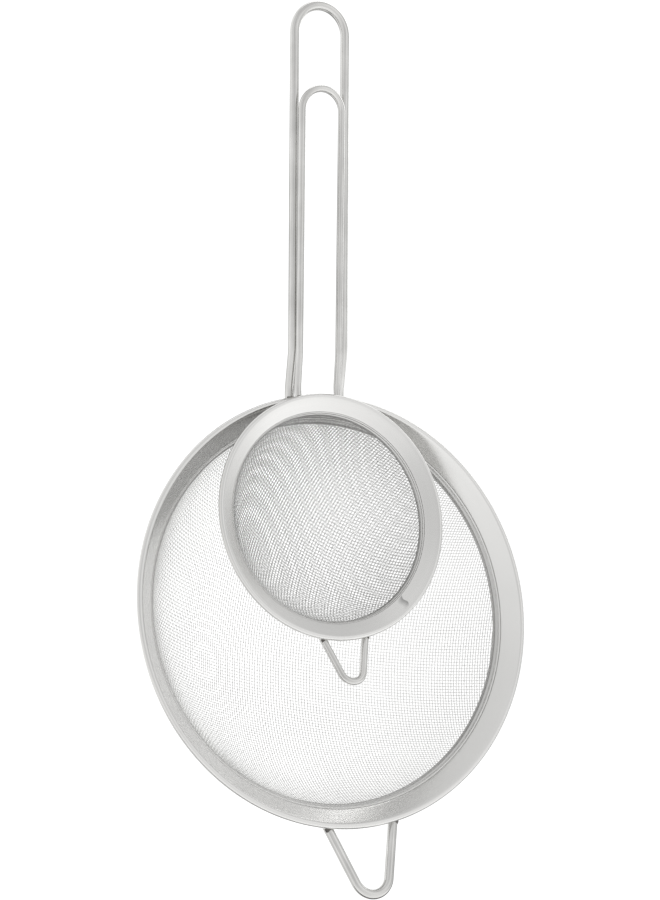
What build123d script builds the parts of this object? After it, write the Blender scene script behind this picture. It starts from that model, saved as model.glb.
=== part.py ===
from build123d import *

import math
import os
from dataclasses import dataclass

# A nested pair of hand-held wire-mesh strainers: a small one lying in a large one.
# Millimetres. +Z is up out of the mouths, the handles run towards +Y, X is across.
# The origin is the centre of the large strainer's mouth, level with the top of its lip.

SEAT_GAP = 0.05        # play between the cloth, the clamp ring and the channel they sit in
WELD_SINK = 0.15       # how far a welded wire sinks into the steel it is welded to


@dataclass
class Strainer:
    """Sizes of one strainer, in its own frame: mouth centre at the origin, lip top at z = 0."""

    name: str
    centre: tuple          # mouth centre in the frame of the pair
    lip_radius: float      # outer edge of the rolled lip
    bead_radius: float     # the rolled lip is a round bead
    band_thickness: float
    band_foot: tuple       # (radius, z) where the sloping band turns down into the channel
    cloth_edge: tuple      # (radius, z) where the cloth comes out from under the clamp ring
    dome_radius: float     # sphere that the cloth bowl is pressed to
    cloth_thickness: float
    ring_bulge: float      # how far the clamp ring's face is rounded out
    wire_radius: float     # handle and rest hook are bent from the same wire
    handle_half_gap: float         # half the spacing between the handle's legs
    handle_bends: tuple            # (y, z) corners of a leg, from the mouth centre outwards
    handle_reach: tuple            # (y, z) of the wire's centre at the end of the loop
    handle_bend_radius: float
    root_slope: float      # how steeply the handle's weld ends lie, in degrees
    hook_half_gap: float   # half the spacing between the hook's legs at the lip
    hook_half_angle: float
    hook_reach: float      # wire centre at the hook's tip, measured from the mouth centre
    hook_slope: float      # how steeply the hook rises, in degrees
    weld_length: float     # length of each wire end that lies inside the lip's lowest line


LARGE = Strainer(
    name="large",
    centre=(0.0, 0.0, 0.0),
    lip_radius=90.0,
    bead_radius=1.4,
    band_thickness=0.8,
    band_foot=(81.8, -6.8),
    cloth_edge=(79.6, -10.0),
    dome_radius=85.0,
    cloth_thickness=0.5,
    ring_bulge=0.35,
    wire_radius=2.0,
    handle_half_gap=11.9,
    handle_bends=((92.5, -3.75), (108.5, 3.45)),
    handle_reach=(248.6, 38.4),
    handle_bend_radius=22.0,
    root_slope=12.0,
    hook_half_gap=15.2,
    hook_half_angle=18.5,
    hook_reach=116.2,
    hook_slope=12.0,
    weld_length=3.0,
)

SMALL = Strainer(
    name="small",
    centre=(-1.5, 37.4, 5.5),
    lip_radius=52.0,
    bead_radius=1.25,
    band_thickness=0.6,
    band_foot=(44.8, -4.2),
    cloth_edge=(43.5, -6.1),
    dome_radius=47.0,
    cloth_thickness=0.5,
    ring_bulge=0.2,
    wire_radius=1.5,
    handle_half_gap=9.3,
    handle_bends=((54.6, -3.65), (68.6, 1.5)),
    handle_reach=(175.5, 29.4),
    handle_bend_radius=16.0,
    root_slope=4.0,
    hook_half_gap=9.9,
    hook_half_angle=18.0,
    hook_reach=69.0,
    hook_slope=14.0,
    weld_length=3.2,
)


def rz(radius, z):
    """A point of a section, drawn in the XZ plane."""
    return Vector(radius, 0, z)


def revolved(*edges):
    """The solid that a closed section sweeps in a full turn about the mouth's axis."""
    section = make_face(edges)
    return revolve(section, Axis.Z, 360)


def channel_levels(s):
    """Heights of the seat under the clamp ring: ring foot, cloth top, cloth foot, channel floor."""
    ring_foot = s.cloth_edge[1] - 0.25
    cloth_top = ring_foot - SEAT_GAP
    cloth_foot = cloth_top - s.cloth_thickness
    channel_floor = cloth_foot - SEAT_GAP
    return ring_foot, cloth_top, cloth_foot, channel_floor


def bead_centre(s):
    return rz(s.lip_radius - s.bead_radius, -s.bead_radius)


def band_frame(s):
    """Where the sloping band meets the bead, the direction up the slope, and the one through the sheet."""
    foot = rz(*s.band_foot)
    reach = bead_centre(s) - foot
    slope = math.atan2(reach.Z, reach.X) + math.asin(s.bead_radius / reach.length)
    up_slope = rz(math.cos(slope), math.sin(slope))
    through = rz(math.sin(slope), -math.cos(slope))
    head = bead_centre(s) - through * s.bead_radius
    return head, up_slope, through


def rim_band(s):
    """Rolled lip, sloping band, and the channel at its foot that holds the cloth's edge."""
    head, up_slope, through = band_frame(s)
    r, t = s.bead_radius, s.band_thickness
    foot_r, foot_z = s.band_foot
    floor_z = channel_levels(s)[3]
    floor_inner_r = s.cloth_edge[0] + 0.8
    outer_r = foot_r + t
    half_chord = math.sqrt(r**2 - (r - t) ** 2)
    bead_back = head + through * t - up_slope * half_chord
    under_foot = bead_back - up_slope * ((bead_back.X - outer_r) / up_slope.X)
    bead_front = bead_centre(s) + (up_slope + through).normalized() * r
    corners = [
        bead_back,
        under_foot,
        rz(outer_r, floor_z - t),
        rz(floor_inner_r, floor_z - t),
        rz(floor_inner_r, floor_z),
        rz(foot_r, floor_z),
        rz(foot_r, foot_z),
        head,
    ]
    outline = Polyline(*corners).edges()
    return revolved(*outline, ThreePointArc(head, bead_front, bead_back))


def clamp_ring(s):
    """The ring pressed into the channel, whose rounded face shows between band and cloth."""
    ring_foot = channel_levels(s)[0]
    top = rz(s.band_foot[0] - SEAT_GAP, s.band_foot[1] - SEAT_GAP)
    edge = rz(*s.cloth_edge)
    face_middle = (top + edge) * 0.5
    outwards = rz(top.Z - edge.Z, edge.X - top.X).normalized()
    crown = face_middle - outwards * s.ring_bulge
    sides = Polyline(edge, rz(edge.X, ring_foot), rz(top.X, ring_foot), top).edges()
    return revolved(*sides, ThreePointArc(top, crown, edge))


def mesh_bowl(s):
    """The woven cloth as one closed shell: a spherical bowl with a flat edge under the ring."""
    _, top, foot, _ = channel_levels(s)
    outer_r = s.band_foot[0] - 2 * SEAT_GAP
    sphere_z = (top + foot) / 2 + math.sqrt(s.dome_radius**2 - s.cloth_edge[0] ** 2)

    def side(radius, level):
        """Arc of the bowl from its edge at this height down to the lowest point."""
        edge_angle = math.acos((sphere_z - level) / radius)
        points = [
            rz(radius * math.sin(a), sphere_z - radius * math.cos(a))
            for a in (edge_angle, edge_angle / 2, 0)
        ]
        return ThreePointArc(*points)

    inner = side(s.dome_radius - s.cloth_thickness / 2, top)
    outer = side(s.dome_radius + s.cloth_thickness / 2, foot)
    edge = Polyline(inner @ 0, rz(outer_r, top), rz(outer_r, foot), outer @ 0).edges()
    return revolved(inner, outer, *edge, Line(inner @ 1, outer @ 1))


def bent_wire(s, path):
    """A round wire along a path of straight runs and tangent arcs."""
    section = Plane(origin=path @ 0, z_dir=path % 0) * Circle(s.wire_radius)
    return sweep(section, path=path)


def weld_end(s, half_gap, slope):
    """(distance, z) of a wire end welded under the lip, and of the wire below the bead."""
    across = s.bead_radius + s.wire_radius - WELD_SINK
    centre = bead_centre(s)
    angle = math.radians(slope)
    below_r = centre.X + across * math.sin(angle)
    below_z = centre.Z - across * math.cos(angle)
    below_y = math.sqrt(below_r**2 - half_gap**2)
    end = (below_y - s.weld_length * math.cos(angle), below_z - s.weld_length * math.sin(angle))
    return end, (below_y, below_z)


def handle_wire(s):
    """One wire bent into a long loop, both ends welded under the lip."""
    w = s.handle_half_gap
    end, _ = weld_end(s, w, s.root_slope)
    last_bend = Vector(0, *s.handle_bends[-1])
    tip = Vector(0, *s.handle_reach)
    along = (tip - last_bend).normalized()
    shoulder = tip - along * w
    corners = [end, *s.handle_bends, (shoulder.Y, shoulder.Z)]

    def leg(side):
        points = [(side * w, y, z) for y, z in corners]
        return FilletPolyline(*points, radius=s.handle_bend_radius)

    left, right = leg(-1), leg(1)
    loop_end = ThreePointArc(left @ 1, tip, right @ 1)
    return bent_wire(s, Wire([*left.edges(), loop_end.edge(), *right.edges()]))


def rest_hook(s):
    """One wire bent into a V opposite the handle, its tip tilted up, both ends welded under the lip."""
    end, below = weld_end(s, s.hook_half_gap, s.hook_slope)
    taper = math.tan(math.radians(s.hook_half_angle))
    rise = math.tan(math.radians(s.hook_slope))
    corner_y = below[0] + s.hook_half_gap / taper
    tip_round = (corner_y - s.hook_reach) / (1 / math.sin(math.radians(s.hook_half_angle)) - 1)
    corner = (0, -corner_y, below[1] + (corner_y - below[0]) * rise)
    end_x = s.hook_half_gap + (below[0] - end[0]) * taper
    left = (-end_x, -end[0], end[1])
    right = (end_x, -end[0], end[1])
    return bent_wire(s, FilletPolyline(left, corner, right, radius=tip_round))


PIECES = {
    "rim_band": rim_band,
    "clamp_ring": clamp_ring,
    "mesh_bowl": mesh_bowl,
    "handle_wire": handle_wire,
    "rest_hook": rest_hook,
}

os.makedirs("parts", exist_ok=True)
for strainer in (LARGE, SMALL):
    for piece, make in PIECES.items():
        solid = Pos(*strainer.centre) * make(strainer)
        export_step(solid, f"parts/{strainer.name}_{piece}.step")
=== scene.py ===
import math
from dataclasses import dataclass

import bpy
import numpy as np
from mathutils import Matrix, Vector


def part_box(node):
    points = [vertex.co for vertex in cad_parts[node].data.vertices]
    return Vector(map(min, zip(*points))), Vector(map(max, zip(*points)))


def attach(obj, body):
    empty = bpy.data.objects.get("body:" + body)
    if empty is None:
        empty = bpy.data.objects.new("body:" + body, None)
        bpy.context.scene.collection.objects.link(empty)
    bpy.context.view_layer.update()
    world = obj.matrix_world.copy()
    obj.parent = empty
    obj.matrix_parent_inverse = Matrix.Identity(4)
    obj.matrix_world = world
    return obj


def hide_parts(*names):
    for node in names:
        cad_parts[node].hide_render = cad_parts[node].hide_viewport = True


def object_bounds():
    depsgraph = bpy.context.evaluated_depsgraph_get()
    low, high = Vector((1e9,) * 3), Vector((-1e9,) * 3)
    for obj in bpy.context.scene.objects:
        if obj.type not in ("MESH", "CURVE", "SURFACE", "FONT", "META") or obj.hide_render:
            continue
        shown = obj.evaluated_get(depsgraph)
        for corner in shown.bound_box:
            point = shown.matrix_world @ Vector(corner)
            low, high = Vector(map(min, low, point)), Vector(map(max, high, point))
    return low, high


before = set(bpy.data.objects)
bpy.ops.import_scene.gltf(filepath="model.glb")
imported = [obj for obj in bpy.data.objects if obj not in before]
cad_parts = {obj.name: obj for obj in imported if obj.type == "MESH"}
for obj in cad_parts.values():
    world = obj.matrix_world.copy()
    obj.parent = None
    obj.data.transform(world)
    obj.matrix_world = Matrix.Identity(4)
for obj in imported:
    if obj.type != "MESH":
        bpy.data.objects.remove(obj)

# The looks of a nested pair of wire-mesh strainers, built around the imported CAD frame.
# Sizes are millimetres in each strainer's own frame (mouth centre at the origin, top of the
# lip at z = 0, handle towards +Y). They become metres in the row frame when a mesh is made.

MM = 0.001
CAD_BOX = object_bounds()
NOISE = np.random.default_rng(1907)

CAD_CLOTH = 0.5              # thickness of the CAD's cloth, whose wires lie along its middle
SEAT_GAP = 0.05              # play around the cloth and the clamp ring in their channel
RING_EDGE = 0.25             # height of the clamp ring's inner edge
WELD_SINK = 0.15             # how far a welded wire sinks into the lip
CUT_ROUNDING = 0.35          # how far the edges of a wire's cut ends are rounded


@dataclass
class Strainer:
    """What is needed to draw one strainer, in its own frame."""

    name: str
    bead_radius: float        # rolled lip
    band_thickness: float
    band_foot: tuple          # (radius, z) where the sloping band turns down into the channel
    cloth_edge: tuple         # (radius, z) where the cloth comes out from under the clamp ring
    dome_radius: float        # sphere that the cloth is pressed to
    wire_radius: float        # handle and rest hook
    handle_half_gap: float
    handle_bends: tuple       # (y, z) corners of a handle leg
    handle_reach: tuple       # (y, z) of the wire's centre at the end of the loop
    handle_bend_radius: float
    root_slope: float         # slope of the handle's weld ends, in degrees
    hook_half_gap: float
    hook_half_angle: float
    hook_reach: float
    hook_slope: float
    weld_length: float
    cloth_pitch: tuple        # spacing of the cloth's wires, along its first and second direction
    cloth_wire: float         # diameter of the cloth's wires
    cloth_turn: float         # direction of one set of the cloth's wires, in degrees from +X
    cloth_tones_and_painted_shade: tuple       # how bright the wires of each set are; where the two sets differ, that is painted light and shade for how the light falls along each direction
    has_seam: bool            # whether the band's seam shows

    def __post_init__(self):
        low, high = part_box(self.name + "_rim_band")
        middle = (low + high) / 2
        self.centre = np.array([middle.x, middle.y, high.z]) / MM
        self.lip_radius = (high.x - low.x) / 2 / MM
        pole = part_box(self.name + "_mesh_bowl")[0].z / MM - self.centre[2]
        self.sphere_z = pole + self.dome_radius + CAD_CLOTH / 2
        self.body = self.name + "_strainer"


LARGE = Strainer(
    name="large",
    bead_radius=1.4,
    band_thickness=0.8,
    band_foot=(81.8, -6.8),
    cloth_edge=(79.6, -10.0),
    dome_radius=85.0,
    wire_radius=2.0,
    handle_half_gap=11.9,
    handle_bends=((92.5, -3.75), (108.5, 3.45)),
    handle_reach=(248.6, 38.4),
    handle_bend_radius=22.0,
    root_slope=12.0,
    hook_half_gap=15.2,
    hook_half_angle=18.5,
    hook_reach=116.2,
    hook_slope=12.0,
    weld_length=3.0,
    cloth_pitch=(1.32, 1.435),
    cloth_wire=0.26,
    cloth_turn=-14.3,
    # warp lighter than weft: painted light and shade for how the light falls along each set of wires
    cloth_tones_and_painted_shade=(0.90, 0.66),
    has_seam=False,
)

SMALL = Strainer(
    name="small",
    bead_radius=1.25,
    band_thickness=0.6,
    band_foot=(44.8, -3.5),
    cloth_edge=(43.5, -6.1),
    dome_radius=47.0,
    wire_radius=1.5,
    handle_half_gap=9.3,
    handle_bends=((54.6, -3.65), (68.6, 1.5)),
    handle_reach=(175.5, 29.4),
    handle_bend_radius=16.0,
    root_slope=4.0,
    hook_half_gap=9.9,
    hook_half_angle=18.0,
    hook_reach=69.0,
    hook_slope=14.0,
    weld_length=3.2,
    cloth_pitch=(1.443, 1.443),
    cloth_wire=0.28,
    cloth_turn=-36.7,
    cloth_tones_and_painted_shade=(0.56, 0.56),
    has_seam=True,
)

# ---------------------------------------------------------------- camera, light and floor

CAMERA_AT = Vector((-0.3458, -0.0708, 0.6410))
CAMERA_AZIMUTH = -68.54      # degrees: 0 looks along +Y, 90 along -X
CAMERA_ELEVATION = 59.73
CAMERA_ROLL = 64.99
CAMERA_LENS = 70.65


def make_camera():
    a, e = math.radians(CAMERA_AZIMUTH), math.radians(CAMERA_ELEVATION)
    back = Vector((math.sin(a) * math.cos(e), -math.cos(a) * math.cos(e), math.sin(e)))
    level = (-back).to_track_quat("-Z", "Y")
    roll = Matrix.Rotation(math.radians(CAMERA_ROLL), 3, "Z").to_quaternion()
    data = bpy.data.cameras.new("camera")
    data.lens = CAMERA_LENS
    data.clip_start, data.clip_end = 0.01, 50
    camera = bpy.data.objects.new("camera", data)
    camera.rotation_mode = "QUATERNION"
    camera.rotation_quaternion = level @ roll
    camera.location = CAMERA_AT
    bpy.context.scene.collection.objects.link(camera)
    bpy.context.scene.camera = camera


def direction(azimuth, elevation):
    """Unit vector; azimuth in degrees from +X towards +Y."""
    a, e = math.radians(azimuth), math.radians(elevation)
    return math.cos(a) * math.cos(e), math.sin(a) * math.cos(e), math.sin(e)


BACKDROP = 0.80              # the walls behind the strainers, as the camera sees them
SURROUND = 0.86              # light from the studio's walls and ceiling
SOFTBOXES = (                # (azimuth, elevation, cosine where its light starts, extra light)
    (-62, 12, -1.0, 0.43),   # broad bright side
    (-30, 4, 0.75, 0.12),    # its brightest part, low beside the table
    (0, 90, 0.5, -0.18),     # ceiling over the table, a little darker
    (-175, 64, 0.85, -0.12),  # the camera's side
    (24, 56, 0.88, 0.14),    # lamp beyond the handles
    (56, 12, 0.82, -0.20),   # gap between the softboxes
    (5, 26, 0.84, -0.40),    # dark panel above the bright side
)


def make_world():
    """Pale walls for the camera; the steel sees a soft studio with one broad bright side."""
    world = bpy.data.worlds.new("studio")
    bpy.context.scene.world = world
    n = Nodes(world)
    seen = n.add("ShaderNodeTexCoord").outputs["Generated"]
    total = SURROUND
    for azimuth, elevation, start, extra in SOFTBOXES:
        towards = n.dot(seen, direction(azimuth, elevation))
        falloff = "LINEAR" if start == -1.0 else "SMOOTHSTEP"
        total = n.maths("ADD", n.remap(towards, start, 1.0, 0.0, extra, falloff), total)
    background = n.tree.nodes["Background"]
    n.put(background.inputs["Color"], (1, 1, 1, 1))
    n.put(background.inputs["Strength"], n.for_camera(BACKDROP, total))
    bpy.context.scene.view_settings.view_transform = "Standard"


FLOOR_PAINTED_LIGHT = (            # (x, y, radius, extra painted light, negative for painted shadow), metres
    (0.094, -0.022, 0.046, 0.7),
    (-0.14, 0.0, 0.08, 0.5),
    (-0.01, 0.06, 0.045, -0.7),
    (0.0, 0.18, 0.11, -0.8),
    (0.16, 0.11, 0.14, -0.40),
    (0.0, -0.12, 0.07, 0.7),
)


def make_floor():
    """A large pale floor under the lowest point of the bowls, whose emission paints uneven light: what the
    steel mirrors of it is paler to the right with painted light, dimmer away from the handles, and has
    painted shadow under them."""
    half, z = 6.0, CAD_BOX[0].z
    mesh = bpy.data.meshes.new("floor")
    corners = [(-half, -half, z), (half, -half, z), (half, half, z), (-half, half, z)]
    mesh.from_pydata(corners, [], [(0, 1, 2, 3)])
    floor = bpy.data.objects.new("floor", mesh)
    bpy.context.scene.collection.objects.link(floor)
    material = bpy.data.materials.new("pale_floor")
    n = Nodes(material)
    place = n.add("ShaderNodeTexCoord").outputs["Object"]
    away = n.dot(place, direction(-70, 0))
    right = n.dot(place, direction(22, 0))
    even = n.maths("ADD", n.remap(away, -0.02, 0.07, 1.06, 0.78), n.remap(right, 0.27, 0.36, 0.0, 1.2))
    mirrored = n.maths("MULTIPLY", even, n.remap(away, 0.13, 0.25, 1.0, 0.08))
    # painted pools of light and painted shadows on the floor, seen in the steel's reflections
    for x, y, radius, extra in FLOOR_PAINTED_LIGHT:
        painted_patch = n.remap(n.distance(place, (x, y, z)), 0.2 * radius, radius, extra, 0.0)
        mirrored = n.maths("ADD", mirrored, painted_patch)
    nearby = n.remap(n.distance(place, (0, 0, 0)), 0.45, 1.1, 1.0, 0.0)
    x = n.add("ShaderNodeSeparateXYZ", [(0, place)]).outputs["X"]
    glow = n.maths("MULTIPLY", n.remap(x, -0.06, 0.06, 0.65, 0.33), nearby)
    shown = n.maths("ADD", glow, 0.65)
    n.put(n.shader.inputs["Base Color"], (0.12, 0.12, 0.12, 1))
    n.put(n.shader.inputs["Roughness"], 0.9)
    n.put(n.shader.inputs["Specular IOR Level"], 0.0)
    n.put(n.shader.inputs["Emission Color"], (1, 1, 1, 1))
    n.put(n.shader.inputs["Emission Strength"], n.for_camera(shown, mirrored))
    mesh.materials.append(material)


# ---------------------------------------------------------------- materials


class Nodes:
    """Short ways to add nodes to the tree of a material or a world."""

    def __init__(self, owner):
        owner.use_nodes = True
        self.tree = owner.node_tree
        self.shader = self.tree.nodes.get("Principled BSDF")

    def add(self, kind, inputs=(), **settings):
        """A node with its settings; inputs are (socket, value or output to link)."""
        node = self.tree.nodes.new(kind)
        for name, value in settings.items():
            setattr(node, name, value)
        for socket, value in inputs:
            self.put(node.inputs[socket], value)
        return node

    def put(self, socket, value):
        if isinstance(value, bpy.types.NodeSocket):
            self.tree.links.new(value, socket)
        else:
            socket.default_value = value

    def maths(self, operation, a, b=0.0):
        return self.add("ShaderNodeMath", [(0, a), (1, b)], operation=operation).outputs[0]

    def vector_maths(self, operation, a, b):
        return self.add("ShaderNodeVectorMath", [(0, a), (1, b)], operation=operation).outputs

    def dot(self, a, b):
        return self.vector_maths("DOT_PRODUCT", a, b)["Value"]

    def distance(self, a, b):
        return self.vector_maths("DISTANCE", a, b)["Value"]

    def joined(self, x, y, z):
        return self.add("ShaderNodeCombineXYZ", [(0, x), (1, y), (2, z)]).outputs[0]

    def stretched(self, parts, x, y, z):
        """The vector of three parts, each times its own scale."""
        return self.joined(*(self.maths("MULTIPLY", p, k) for p, k in zip(parts, (x, y, z))))

    def noise(self, vector, scale, detail=3.0, roughness=0.55):
        inputs = [("Vector", vector), ("Scale", scale), ("Detail", detail), ("Roughness", roughness)]
        return self.add("ShaderNodeTexNoise", inputs).outputs["Fac"]

    def remap(self, value, low, high, out_low, out_high, falloff="LINEAR"):
        inputs = [("Value", value), (1, low), (2, high), (3, out_low), (4, out_high)]
        return self.add("ShaderNodeMapRange", inputs, interpolation_type=falloff).outputs["Result"]

    def blend(self, a, share_a, b, share_b):
        """Two values mixed by fixed shares."""
        return self.maths("ADD", self.maths("MULTIPLY", a, share_a), self.maths("MULTIPLY", b, share_b))

    def tint(self, factor, dark, bright):
        """A colour between the two as the factor goes from 0 to 1."""
        inputs = [(0, factor), (6, (*dark, 1)), (7, (*bright, 1))]
        return self.add("ShaderNodeMix", inputs, data_type="RGBA").outputs[2]

    def for_camera(self, shown, mirrored):
        """One value where the camera looks straight at the surface, and another in reflections."""
        seen = self.add("ShaderNodeLightPath").outputs["Is Camera Ray"]
        inputs = [("Factor", seen), ("A", mirrored), ("B", shown)]
        return self.add("ShaderNodeMix", inputs).outputs["Result"]

    def darkened(self, colour, share):
        """The colour with this share of it taken away."""
        inputs = [("Vector", colour), ("Scale", self.maths("SUBTRACT", 1.0, share))]
        return self.add("ShaderNodeVectorMath", inputs, operation="SCALE").outputs[0]

    def bump(self, height, strength, distance):
        inputs = [("Height", height), ("Strength", strength), ("Distance", distance)]
        return self.add("ShaderNodeBump", inputs).outputs["Normal"]


SEAM_ANGLE = -0.8604         # where the small band's seam starts, in radians from +X
SEAM_DARKNESS = 0.50         # share of the light that the seam swallows
HEM_PAINTED_SHADE = 0.36          # share of the colour taken away by painted shade where the cloth goes under the clamp ring


def turned_steel(name, s, mark_and_painted_shade=None):
    """Bright stainless sheet with the fine circular grain of a pressed and turned rim; the given function
    gives the share of colour taken away by a real mark on it (the seam) and by painted shade (at the hem)."""
    material = bpy.data.materials.new(name)
    n = Nodes(material)
    place = n.add("ShaderNodeTexCoord").outputs["Object"]
    local = n.vector_maths("SUBTRACT", place, tuple(s.centre * MM))[0]
    parts = n.add("ShaderNodeSeparateXYZ", [(0, local)]).outputs
    flat = n.joined(parts["X"], parts["Y"], 0.0)
    radius = n.distance(flat, (0, 0, 0))
    across = n.maths("SUBTRACT", radius, parts["Z"])
    rings = (across, parts["X"], parts["Y"])
    grain = n.noise(n.stretched(rings, 5200.0, 16.0, 16.0), 1.0, detail=4.0, roughness=0.65)
    bands = n.noise(n.stretched(rings, 700.0, 4.0, 4.0), 1.0, detail=2.0)
    cloud = n.noise(local, 38.0, detail=4.0)
    shade = n.remap(n.blend(bands, 0.5, cloud, 0.5), 0.3, 0.7, 0.0, 1.0)
    steel = n.tint(shade, (0.65, 0.646, 0.635), (0.70, 0.696, 0.684))
    # darkens the base colour: the band's real seam mark, and painted shade at the hem on the ring
    if mark_and_painted_shade is not None:
        steel = n.darkened(steel, mark_and_painted_shade(n, s, parts, radius))
    rough = n.maths("ADD", n.remap(grain, 0.25, 0.75, 0.19, 0.26), n.remap(cloud, 0.3, 0.7, -0.02, 0.03))
    n.put(n.shader.inputs["Metallic"], 1.0)
    n.put(n.shader.inputs["Base Color"], steel)
    n.put(n.shader.inputs["Roughness"], rough)
    n.put(n.shader.inputs["Anisotropic"], 0.45)
    tangent = n.add("ShaderNodeTangent", direction_type="RADIAL", axis="Z").outputs[0]
    n.put(n.shader.inputs["Tangent"], tangent)
    n.put(n.shader.inputs["Normal"], n.bump(grain, 0.02, 0.00002))
    return material


def hem_painted_shade(n, s, parts, radius):
    """Painted shade where the cloth goes under the clamp ring."""
    width = (s.band_foot[0] - s.cloth_edge[0]) * MM
    inner = s.cloth_edge[0] * MM
    return n.remap(radius, inner + 0.1 * width, inner + 0.8 * width, HEM_PAINTED_SHADE, 0.0)


def seam_mark(n, s, parts, radius):
    """The seam where the band's strip is joined: a faint S across the sloping face."""
    share = n.remap(radius, s.band_foot[0] * MM, (s.lip_radius - 2.1) * MM, 0.0, 1.0)
    wave = n.maths("SINE", n.maths("MULTIPLY", share, 2 * math.pi))
    bend = n.blend(share, -0.0646, wave, -0.0157)
    turn = n.maths("ARCTAN2", parts["Y"], parts["X"])
    angle = n.maths("SUBTRACT", turn, n.maths("ADD", bend, SEAM_ANGLE))
    aside = n.maths("MULTIPLY", angle, radius)
    soft_side = n.remap(aside, -0.0030, -0.0001, 0.0, 1.0)
    sharp_side = n.remap(aside, 0.0001, 0.0004, 1.0, 0.0)
    foot_end = n.remap(share, 0.0, 0.12, 0.0, 1.0)
    lip_end = n.remap(share, 0.75, 0.98, SEAM_DARKNESS, 0.0)
    line = n.maths("MULTIPLY", soft_side, sharp_side)
    return n.maths("MULTIPLY", line, n.maths("MULTIPLY", foot_end, lip_end))


def drawn_steel(name):
    """Stainless wire: streaks along its length from the drawing die."""
    material = bpy.data.materials.new(name)
    n = Nodes(material)
    flow = n.add("ShaderNodeAttribute", attribute_name="flow").outputs["Vector"]
    parts = n.add("ShaderNodeSeparateXYZ", [(0, flow)]).outputs
    streaks = n.noise(n.stretched(parts, 9.0, 9.0, 0.05), 1.0, detail=4.0, roughness=0.6)
    place = n.add("ShaderNodeTexCoord").outputs["Object"]
    cloud = n.noise(place, 60.0, detail=3.0)
    fine = n.noise(place, 1500.0, detail=2.0)
    shade = n.blend(streaks, 0.6, cloud, 0.4)
    steel = n.tint(n.remap(shade, 0.3, 0.7, 0.0, 1.0), (0.44, 0.436, 0.426), (0.74, 0.735, 0.72))
    n.put(n.shader.inputs["Metallic"], 1.0)
    n.put(n.shader.inputs["Base Color"], steel)
    n.put(n.shader.inputs["Roughness"], n.remap(shade, 0.3, 0.7, 0.07, 0.15))
    n.put(n.shader.inputs["Normal"], n.bump(n.blend(streaks, 0.7, fine, 0.3), 0.05, 0.00002))
    return material


def weld_and_painted_shade(name):
    """Weld metal darkened by heat; its near-black colour also paints the shade in the crevice where the wire
    meets the lip.
    """
    material = bpy.data.materials.new(name)
    n = Nodes(material)
    spots = n.noise(n.add("ShaderNodeTexCoord").outputs["Object"], 900.0, detail=2.0)
    # near-black: painted shade of the crevice under the lip, on top of the weld's heat tint
    metal = n.tint(n.remap(spots, 0.35, 0.65, 0.0, 1.0), (0.09, 0.085, 0.08), (0.18, 0.17, 0.16))
    n.put(n.shader.inputs["Metallic"], 1.0)
    n.put(n.shader.inputs["Base Color"], metal)
    n.put(n.shader.inputs["Roughness"], 0.42)
    return material


def cloth_steel(name, tone_and_painted_shade):
    """Bright fine wire, a little duller where the weave was pressed; its overall brightness is given per set
    of wires, which on the large cloth paints light and shade by direction.
    """
    material = bpy.data.materials.new(name)
    n = Nodes(material)
    place = n.add("ShaderNodeTexCoord").outputs["Object"]
    shade = n.blend(n.noise(place, 45.0, detail=3.0), 0.5, n.noise(place, 700.0, detail=2.0), 0.5)
    dark, bright = (tuple(tone_and_painted_shade * share * c for c in (1.0, 1.0, 0.985)) for share in (0.9, 1.1))
    n.put(n.shader.inputs["Metallic"], 1.0)
    n.put(n.shader.inputs["Base Color"], n.tint(n.remap(shade, 0.35, 0.65, 0.0, 1.0), dark, bright))
    n.put(n.shader.inputs["Roughness"], n.remap(shade, 0.35, 0.65, 0.15, 0.26))
    return material


# ---------------------------------------------------------------- meshes


def new_piece(s, name, points, faces, material, attribute=None):
    """A smooth piece of one strainer, from points in its own frame."""
    mesh = bpy.data.meshes.new(name)
    points = (np.asarray(points, float) + s.centre) * MM
    faces = np.asarray(faces, np.int32)
    corners = faces.shape[1]
    mesh.vertices.add(len(points))
    mesh.vertices.foreach_set("co", points.ravel())
    mesh.loops.add(faces.size)
    mesh.loops.foreach_set("vertex_index", faces.ravel())
    mesh.polygons.add(len(faces))
    mesh.polygons.foreach_set("loop_start", np.arange(len(faces), dtype=np.int32) * corners)
    mesh.polygons.foreach_set("use_smooth", np.ones(len(faces), bool))
    mesh.update(calc_edges=True)
    mesh.validate()
    if attribute is not None:
        layer = mesh.attributes.new("flow", "FLOAT_VECTOR", "POINT")
        layer.data.foreach_set("vector", np.asarray(attribute, np.float32).ravel())
    mesh.materials.append(material)
    piece = bpy.data.objects.new(s.name + "_" + name, mesh)
    bpy.context.scene.collection.objects.link(piece)
    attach(piece, s.body)
    return piece


def grid_faces(rows, columns, wrap_rows, wrap_columns):
    """Quads between neighbouring points of a rows x columns grid."""
    r = np.arange(rows if wrap_rows else rows - 1)
    c = np.arange(columns if wrap_columns else columns - 1)
    r, c = (g.ravel() for g in np.meshgrid(r, c, indexing="ij"))
    r2, c2 = (r + 1) % rows, (c + 1) % columns
    return np.stack([r * columns + c, r * columns + c2, r2 * columns + c2, r2 * columns + c], axis=1)


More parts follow.
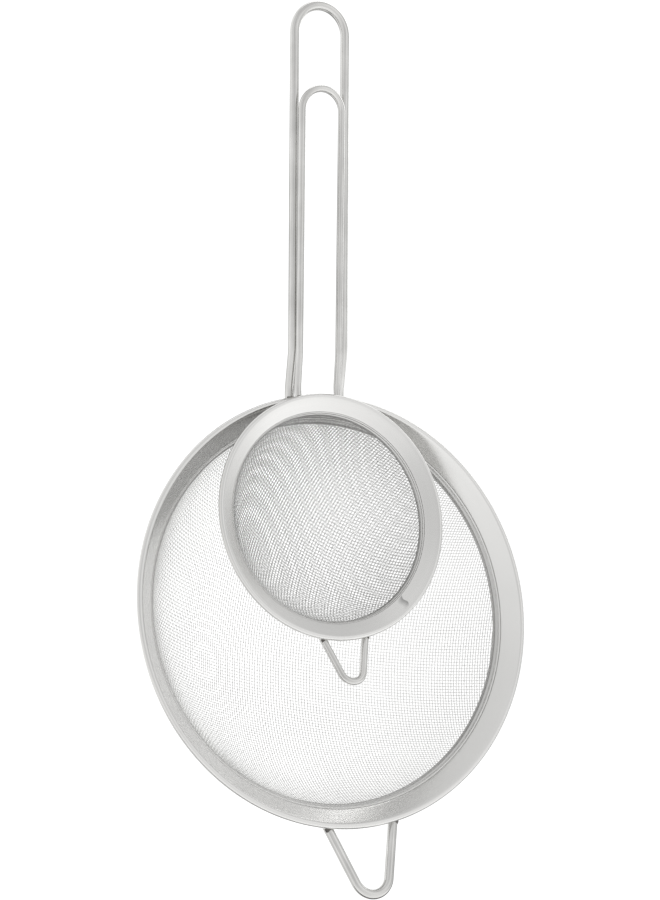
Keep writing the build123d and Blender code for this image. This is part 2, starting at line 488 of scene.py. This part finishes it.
def rounded(corners, step=12.0):
    """Points of a closed section, from (radius, z, rounding) corners."""
    points = []
    count = len(corners)
    for i, (r, z, rounding) in enumerate(corners):
        here = np.array([r, z])
        if rounding == 0:
            points.append(here)
            continue
        before = np.array(corners[i - 1][:2]) - here
        after = np.array(corners[(i + 1) % count][:2]) - here
        before /= np.linalg.norm(before)
        after /= np.linalg.norm(after)
        half = math.acos(np.clip(before @ after, -1, 1)) / 2
        bisector = (before + after) / np.linalg.norm(before + after)
        middle = here + bisector * rounding / math.sin(half)
        start = here + before * rounding / math.tan(half) - middle
        end = here + after * rounding / math.tan(half) - middle
        turn = math.atan2(start[0] * end[1] - start[1] * end[0], start @ end)
        pieces = max(2, math.ceil(abs(math.degrees(turn)) / step))
        for k in range(pieces + 1):
            a = turn * k / pieces
            c, q = math.cos(a), math.sin(a)
            points.append(middle + np.array([c * start[0] - q * start[1], q * start[0] + c * start[1]]))
    return points


def spaced(points, longest):
    """The closed section again, with long straight runs divided."""
    result = []
    for a, b in zip(points, points[1:] + points[:1]):
        parts = max(1, math.ceil(np.linalg.norm(b - a) / longest))
        result += [a + (b - a) * k / parts for k in range(parts)]
    return np.array(result)


def lathed(section, turns, ripple):
    """Points and faces of a closed section swept round the axis; ripple(angle) gives how far it
    moves along the radius and z."""
    angle = np.linspace(0, 2 * math.pi, turns, endpoint=False)[:, None]
    dr, dz = ripple(angle)
    r = section[None, :, 0] + dr
    z = section[None, :, 1] + dz
    points = np.stack([r * np.cos(angle), r * np.sin(angle), z * np.ones_like(angle)], axis=2)
    return points.reshape(-1, 3), grid_faces(turns, len(section), True, True)


def hand_ripple(size):
    """Slight unevenness of a rolled rim: a few low waves of the given size, in mm."""
    waves = [(k, NOISE.normal() / k, NOISE.uniform(0, 2 * math.pi)) for k in range(2, 12)]
    lifts = [(k, NOISE.normal() / k, NOISE.uniform(0, 2 * math.pi)) for k in range(2, 12)]

    def ripple(angle):
        dr = sum(a * np.sin(k * angle + p) for k, a, p in waves) * size
        dz = sum(a * np.sin(k * angle + p) for k, a, p in lifts) * size
        return dr, dz

    return ripple


def rim_section(s):
    """Curled lip, sloping band and channel, in one strip of sheet."""
    r, t = s.bead_radius, s.band_thickness
    centre = np.array([s.lip_radius - r, -r])
    foot = np.array(s.band_foot)
    reach = centre - foot
    slope = math.atan2(reach[1], reach[0]) + math.asin(r / np.linalg.norm(reach))
    up = np.array([math.cos(slope), math.sin(slope)])
    through = np.array([math.sin(slope), -math.cos(slope)])
    curl_gap = 0.28
    curl_thickness = 0.5
    curl_end = 2 * math.pi - math.acos((r - t - curl_gap) / r)
    steps = 26
    curl = []
    for k in range(steps + 1):
        a = curl_end * k / steps
        curl.append((*(centre + r * (up * math.sin(a) - through * math.cos(a))), 0))
    inner = r - curl_thickness
    curl_in = centre + inner * (up * math.sin(curl_end) - through * math.cos(curl_end))
    notch = centre - through * (r - t) - up * inner * 0.8
    outer_r = foot[0] + t
    back = centre - through * (r - t)
    under_foot = back - up * ((back[0] - outer_r) / up[0])
    floor_z = channel_floor(s)
    floor_inner = s.cloth_edge[0] + 0.8
    corners = curl + [
        (*curl_in, 0),
        (*notch, 0),
        (*under_foot, 0.8),
        (outer_r, floor_z - t, 0.6),
        (floor_inner, floor_z - t, 0.25),
        (floor_inner, floor_z, 0.15),
        (foot[0], floor_z, 0.1),
        (*foot, 0.15),
    ]
    return spaced(rounded(corners), longest=0.9)


def channel_floor(s):
    """Height of the channel's floor, under the clamp ring's edge and the cloth."""
    return s.cloth_edge[1] - (RING_EDGE + SEAT_GAP + CAD_CLOTH + SEAT_GAP)


def ring_section(s):
    """The clamp ring's section: a face of two rounded steps with a groove between them."""
    top = np.array(s.band_foot) - SEAT_GAP
    edge = np.array(s.cloth_edge)
    foot_z = edge[1] - RING_EDGE
    along = top - edge
    width = np.linalg.norm(along)
    along = along / width
    out = np.array([-along[1], along[0]])
    bulge = 0.30 * width / 3.83     # 0.30 mm on the large ring's face

    def face(share, height):
        return (*(edge + along * width * share + out * height), 0)

    def swell(first, last, height, count):
        """A low rounded step of the face between two shares of its width."""
        shares = np.linspace(first, last, count)
        arch = [max(0.0, math.sin(math.pi * (q - first) / (last - first))) ** 0.6 for q in shares]
        return [face(q, height * a) for q, a in zip(shares, arch)]

    corners = [(edge[0], foot_z, 0.05), (top[0], foot_z, 0.05), (*top, 0.04)]
    corners += swell(0.97, 0.60, bulge, 9)
    corners += swell(0.57, 0.03, bulge, 11)
    corners += [(*edge, 0)]
    return spaced(rounded(corners), longest=0.8)


def filleted(corners, radius, arc_step=5.0, run_step=5.0):
    """Points along a path of straight runs and tangent arcs."""
    corners = [np.array(c, float) for c in corners]
    points = [corners[0]]
    for before, here, after in zip(corners, corners[1:], corners[2:]):
        u = (before - here) / np.linalg.norm(before - here)
        v = (after - here) / np.linalg.norm(after - here)
        half = math.acos(np.clip(u @ v, -1, 1)) / 2
        bisector = (u + v) / np.linalg.norm(u + v)
        middle = here + bisector * radius / math.sin(half)
        start = here + u * radius / math.tan(half) - middle
        side = here + v * radius / math.tan(half) - middle
        turn = math.pi - 2 * half
        across = side - start * math.cos(turn)
        across *= radius / np.linalg.norm(across)
        count = max(2, math.ceil(math.degrees(turn) / arc_step))
        points += run(points[-1], middle + start, run_step)
        points += [middle + start * math.cos(turn * k / count) + across * math.sin(turn * k / count)
                   for k in range(1, count + 1)]
    points += run(points[-1], corners[-1], run_step)
    return points


def run(a, b, step):
    """Points from a to b, without a."""
    parts = max(1, math.ceil(np.linalg.norm(b - a) / step))
    return [a + (b - a) * k / parts for k in range(1, parts + 1)]


def travelled(path):
    """Distance along a path to each of its points."""
    return np.r_[0, np.cumsum(np.linalg.norm(np.diff(path, axis=0), axis=1))]


def wire_rings(path, radius):
    """Middles, directions and radii of the rings that make up a round wire with rounded cut ends."""
    tangent = np.gradient(path, axis=0)
    tangent /= np.linalg.norm(tangent, axis=1)[:, None]
    quarter = np.array([0.0, 0.3, 0.6, 0.85, 1.0]) * math.pi / 2
    depths = CUT_ROUNDING * (1 - np.cos(quarter))
    growing = radius - CUT_ROUNDING * (1 - np.sin(quarter))
    head = path[0] + tangent[0] * depths[:, None]
    tail = path[-1] - tangent[-1] * depths[::-1, None]
    length = travelled(path)
    clear = CUT_ROUNDING * 1.5
    inner = (length > clear) & (length < length[-1] - clear)
    middles = np.vstack([head, path[inner], tail])
    tangents = np.vstack([np.repeat(tangent[:1], len(head), 0), tangent[inner],
                          np.repeat(tangent[-1:], len(tail), 0)])
    radii = np.r_[growing, np.full(inner.sum(), radius), growing[::-1]]
    return middles, tangents, radii


def tube(path, radius, sides=32):
    """Points, faces and flow attribute of a round wire; the flow is (cosine, sine, distance along)."""
    middles, tangents, radii = wire_rings(np.array(path), radius)
    along = travelled(middles)
    normal = np.cross(tangents[0], [1.0, 0.0, 0.0])
    normal /= np.linalg.norm(normal)
    theta = np.linspace(0, 2 * math.pi, sides, endpoint=False)
    rings, flow = [], []
    for k, t in enumerate(tangents):
        normal = normal - t * (normal @ t)
        normal /= np.linalg.norm(normal)
        side = np.cross(t, normal)
        out = np.cos(theta)[:, None] * normal + np.sin(theta)[:, None] * side
        rings.append(middles[k] + radii[k] * out)
        flow.append(np.stack([np.cos(theta), np.sin(theta), np.full(sides, along[k])], axis=1))
    points = np.vstack(rings + [middles[:1], middles[-1:]])
    flow = np.vstack(flow + [[[0, 0, 0]], [[0, 0, along[-1]]]])
    faces = grid_faces(len(rings), sides, False, True)
    first, last = len(rings) * sides, len(rings) * sides + 1
    base = (len(rings) - 1) * sides
    caps = []
    for k in range(0, sides, 2):
        caps.append((first, (k + 2) % sides, k + 1, k))
        caps.append((last, base + k, base + k + 1, base + (k + 2) % sides))
    return points, np.vstack([faces, np.array(caps)]), flow


def weld_points(s, half_gap, slope):
    """(distance, z) of a wire's cut end, and of the wire where it passes under the lip's lowest line."""
    across = s.bead_radius + s.wire_radius - WELD_SINK
    centre_r, centre_z = s.lip_radius - s.bead_radius, -s.bead_radius
    angle = math.radians(slope)
    below_r = centre_r + across * math.sin(angle)
    below_z = centre_z - across * math.cos(angle)
    below_y = math.sqrt(below_r**2 - half_gap**2)
    end = (below_y - s.weld_length * math.cos(angle), below_z - s.weld_length * math.sin(angle))
    return end, (below_y, below_z)


def handle_path(s):
    """Middle line of the handle's wire: out along one leg, round the end of the loop, and back."""
    w = s.handle_half_gap
    end, _ = weld_points(s, w, s.root_slope)
    last_bend = np.array([0, *s.handle_bends[-1]])
    tip = np.array([0, *s.handle_reach])
    along = (tip - last_bend) / np.linalg.norm(tip - last_bend)
    shoulder = tip - along * w
    yz = [end, *s.handle_bends, (shoulder[1], shoulder[2])]
    left = filleted([(-w, y, z) for y, z in yz], s.handle_bend_radius)
    right = filleted([(w, y, z) for y, z in yz], s.handle_bend_radius)
    side = np.array([1, 0, 0])
    turns = np.linspace(0, math.pi, 41)[1:-1]
    loop = [shoulder + w * (along * math.sin(a) - side * math.cos(a)) for a in turns]
    return left + loop + right[::-1]


def hook_path(s):
    """Middle line of the rest hook's wire: a V with a rounded tip."""
    end, below = weld_points(s, s.hook_half_gap, s.hook_slope)
    taper = math.tan(math.radians(s.hook_half_angle))
    rise = math.tan(math.radians(s.hook_slope))
    corner_y = below[0] + s.hook_half_gap / taper
    tip_round = (corner_y - s.hook_reach) / (1 / math.sin(math.radians(s.hook_half_angle)) - 1)
    corner = (0, -corner_y, below[1] + (corner_y - below[0]) * rise)
    end_x = s.hook_half_gap + (below[0] - end[0]) * taper
    return filleted([(-end_x, -end[0], end[1]), corner, (end_x, -end[0], end[1])], tip_round, run_step=2.0)


WELD_SIZE = (0.92, 0.95, 0.55)  # half a bead's width, length and height, in wire radii
WELD_OUT = 0.30              # how far its middle lies past the lip's lowest line, in wire radii
WELD_UP = 0.62               # and how far above the wire's middle


def weld_beads(s):
    """Small flattened beads of weld metal, one on each wire leg where it passes under the lip."""
    along, around = np.meshgrid(np.linspace(0, math.pi, 9),
                                np.linspace(0, 2 * math.pi, 16, endpoint=False), indexing="ij")
    ball = np.stack([np.sin(along) * np.cos(around), np.sin(along) * np.sin(around), np.cos(along)], axis=2)
    bead = (ball * np.array(WELD_SIZE) * s.wire_radius).reshape(-1, 3)
    bead_faces = grid_faces(*along.shape, False, True)
    points, faces = [], []
    for side, half_gap, slope in ((1, s.handle_half_gap, s.root_slope), (-1, s.hook_half_gap, s.hook_slope)):
        _, (y, z) = weld_points(s, half_gap, slope)
        for leg in (-1, 1):
            middle = (leg * half_gap, side * (y + WELD_OUT * s.wire_radius), z + WELD_UP * s.wire_radius)
            faces.append(bead_faces + len(bead) * len(points))
            points.append(middle + bead)
    return np.vstack(points), np.vstack(faces)


# ---------------------------------------------------------------- woven cloth

UNDER_RING = 0.25            # how far past the clamp ring's edge the cloth still follows the sphere
TUCK = (0.6, 0.3)            # a wire ends this far from the channel's side and above its floor
SHORTEST_WIRE = 4            # crossings that a wire needs to stay in the cloth


def woven_net(s):
    """Crossing points of the cloth: a square weave pressed to a sphere, where every wire keeps its
    spacing along the wires that cross it. Rows follow the first direction, columns the second."""
    radius, (h, k) = s.dome_radius, s.cloth_pitch
    reach = math.asin(s.cloth_edge[0] / radius) + 2.5 * max(h, k) / radius
    rows, columns = int(reach * radius / h) + 1, int(reach * radius / k) + 1
    quarter = np.full((rows + 1, columns + 1, 3), np.nan)
    for i in range(rows + 1):
        quarter[i, 0] = [radius * math.sin(i * h / radius), 0, -radius * math.cos(i * h / radius)]
    for j in range(columns + 1):
        quarter[0, j] = [0, radius * math.sin(j * k / radius), -radius * math.cos(j * k / radius)]
    square = radius * radius
    over_h, over_k = square * math.cos(h / radius), square * math.cos(k / radius)
    lowest = -radius * math.cos(reach)
    for i in range(rows):
        for j in range(columns):
            a, b, o = quarter[i + 1, j], quarter[i, j + 1], quarter[i, j]
            if np.isnan(a[0]) or np.isnan(b[0]) or (a[2] > lowest and b[2] > lowest):
                continue
            dot = a @ b
            det = square * square - dot * dot
            flat = a * (over_k * square - over_h * dot) / det + b * (over_h * square - over_k * dot) / det
            rest = square - flat @ flat
            if rest < 0:
                continue
            cross = np.cross(a, b)
            lift = math.sqrt(rest) / np.linalg.norm(cross) * cross
            first, second = flat + lift, flat - lift
            quarter[i + 1, j + 1] = max(first, second, key=lambda x: (x - o) @ (x - o))
    net = np.full((2 * rows + 1, 2 * columns + 1, 3), np.nan)
    for side in (-1, 1):
        for end in (-1, 1):
            at = np.ix_(rows + side * np.arange(rows + 1), columns + end * np.arange(columns + 1))
            net[at] = quarter * np.array([side, end, 1])
    return net


def cloth_wires(s, net, along_rows):
    """The wires of one direction, each a list of points that go over and under the wires they cross."""
    if not along_rows:
        net = net.transpose(1, 0, 2)
    turn = math.radians(s.cloth_turn)
    spin = np.array([[math.cos(turn), math.sin(turn), 0], [-math.sin(turn), math.cos(turn), 0], [0, 0, 1]])
    edge_r = s.cloth_edge[0] + UNDER_RING
    wires = []
    for k in range(net.shape[1]):
        line = net[:, k]
        known = ~np.isnan(line[:, 0])
        inside = known & (np.hypot(line[:, 0], line[:, 1]) < edge_r) & (line[:, 2] < 0)
        index = np.flatnonzero(inside)
        if len(index) < SHORTEST_WIRE:
            continue
        first, last = index[0], index[-1]
        if not inside[first:last + 1].all():
            continue
        points = line[first:last + 1]
        over = np.where((np.arange(first, last + 1) + k) % 2 == 0, 1.0, -1.0)
        if not along_rows:
            over = -over
        body = points + points / s.dome_radius * (over * s.cloth_wire / 2)[:, None]
        ends = []
        for at, beyond in ((first, first - 1), (last, last + 1)):
            following = line[beyond] if 0 <= beyond < len(line) and known[beyond] else None
            ends.append(tucked_end(s, edge_r, line[at], following))
        wire = np.vstack([ends[0][::-1], body, ends[1]]) @ spin
        wire[:, 2] += s.sphere_z
        wires.append(wire)
    return wires


def tucked_end(s, edge_r, last, following):
    """A wire's two points past its last crossing, at the cloth's edge and under the clamp ring;
    following is the next crossing, or None where the net ends."""
    heading = last if following is None else following - last
    flat = np.array([heading[0], heading[1], 0])
    flat /= np.linalg.norm(flat)
    outwards = last @ flat
    aside = last[0] ** 2 + last[1] ** 2 - outwards ** 2

    def at_radius(radius, z):
        step = math.sqrt(max(radius ** 2 - aside, 0)) - outwards
        return np.array([last[0] + flat[0] * step, last[1] + flat[1] * step, z])

    edge = at_radius(edge_r, -math.sqrt(s.dome_radius ** 2 - edge_r ** 2))
    tuck = at_radius(s.band_foot[0] - TUCK[0], channel_floor(s) + TUCK[1] - s.sphere_z)
    return np.array([edge, tuck])


def wire_bundle(wires, radius, centre_z):
    """One mesh of four-sided round wires; the sides follow the sphere's normal."""
    points, faces, base = [], [], 0
    for wire in wires:
        tangent = np.gradient(wire, axis=0)
        tangent /= np.linalg.norm(tangent, axis=1)[:, None]
        normal = wire - np.array([0, 0, centre_z])
        normal -= tangent * np.sum(normal * tangent, axis=1)[:, None]
        normal /= np.linalg.norm(normal, axis=1)[:, None]
        side = np.cross(tangent, normal)
        ring = [wire + radius * (math.cos(a) * normal + math.sin(a) * side)
                for a in math.pi / 4 * np.array([1, 3, 5, 7])]
        points.append(np.stack(ring, axis=1).reshape(-1, 3))
        count = len(wire)
        faces.append(grid_faces(count, 4, False, True) + base)
        last = (count - 1) * 4 + base
        cuts = [[base + 3, base + 2, base + 1, base], [last, last + 1, last + 2, last + 3]]
        faces.append(np.array(cuts))
        base += count * 4
    return np.vstack(points), np.vstack(faces)


# ---------------------------------------------------------------- the strainers


def build(s):
    band_steel = turned_steel(s.name + "_band_steel", s, seam_mark if s.has_seam else None)
    # the clamp ring's colour carries painted shade along the cloth's edge
    ring_steel = turned_steel(s.name + "_ring_steel", s, hem_painted_shade)
    wire_steel = drawn_steel(s.name + "_wire_steel")

    points, faces = lathed(rim_section(s), turns=720, ripple=hand_ripple(size=0.03))
    rim = new_piece(s, "rim", points, faces, band_steel)
    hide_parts(s.name + "_rim_band")
    points, faces = lathed(ring_section(s), turns=540, ripple=hand_ripple(size=0.01))
    ring = new_piece(s, "cloth_ring", points, faces, ring_steel)
    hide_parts(s.name + "_clamp_ring")

    points, faces, flow = tube(handle_path(s), s.wire_radius)
    handle = new_piece(s, "handle", points, faces, wire_steel, flow)
    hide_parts(s.name + "_handle_wire")
    points, faces, flow = tube(hook_path(s), s.wire_radius)
    hook = new_piece(s, "hook", points, faces, wire_steel, flow)
    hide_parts(s.name + "_rest_hook")

    # weld beads in the crevice under the lip, whose dark colour is partly painted shade
    points, faces = weld_beads(s)
    new_piece(s, "welds", points, faces, weld_and_painted_shade(s.name + "_weld_steel"))

    net = woven_net(s)
    # each set of cloth wires gets its own brightness, on the large cloth painted light and shade by
    # direction
    for name, along_rows, tone_and_painted_shade in zip(("warp", "weft"), (True, False), s.cloth_tones_and_painted_shade):
        mesh_steel = cloth_steel(s.name + "_" + name + "_steel", tone_and_painted_shade)
        wires = cloth_wires(s, net, along_rows)
        points, faces = wire_bundle(wires, s.cloth_wire / 2, s.sphere_z)
        piece = new_piece(s, name, points, faces, mesh_steel)
        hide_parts(s.name + "_mesh_bowl")


make_camera()
make_world()
make_floor()
for strainer in (LARGE, SMALL):
    build(strainer)
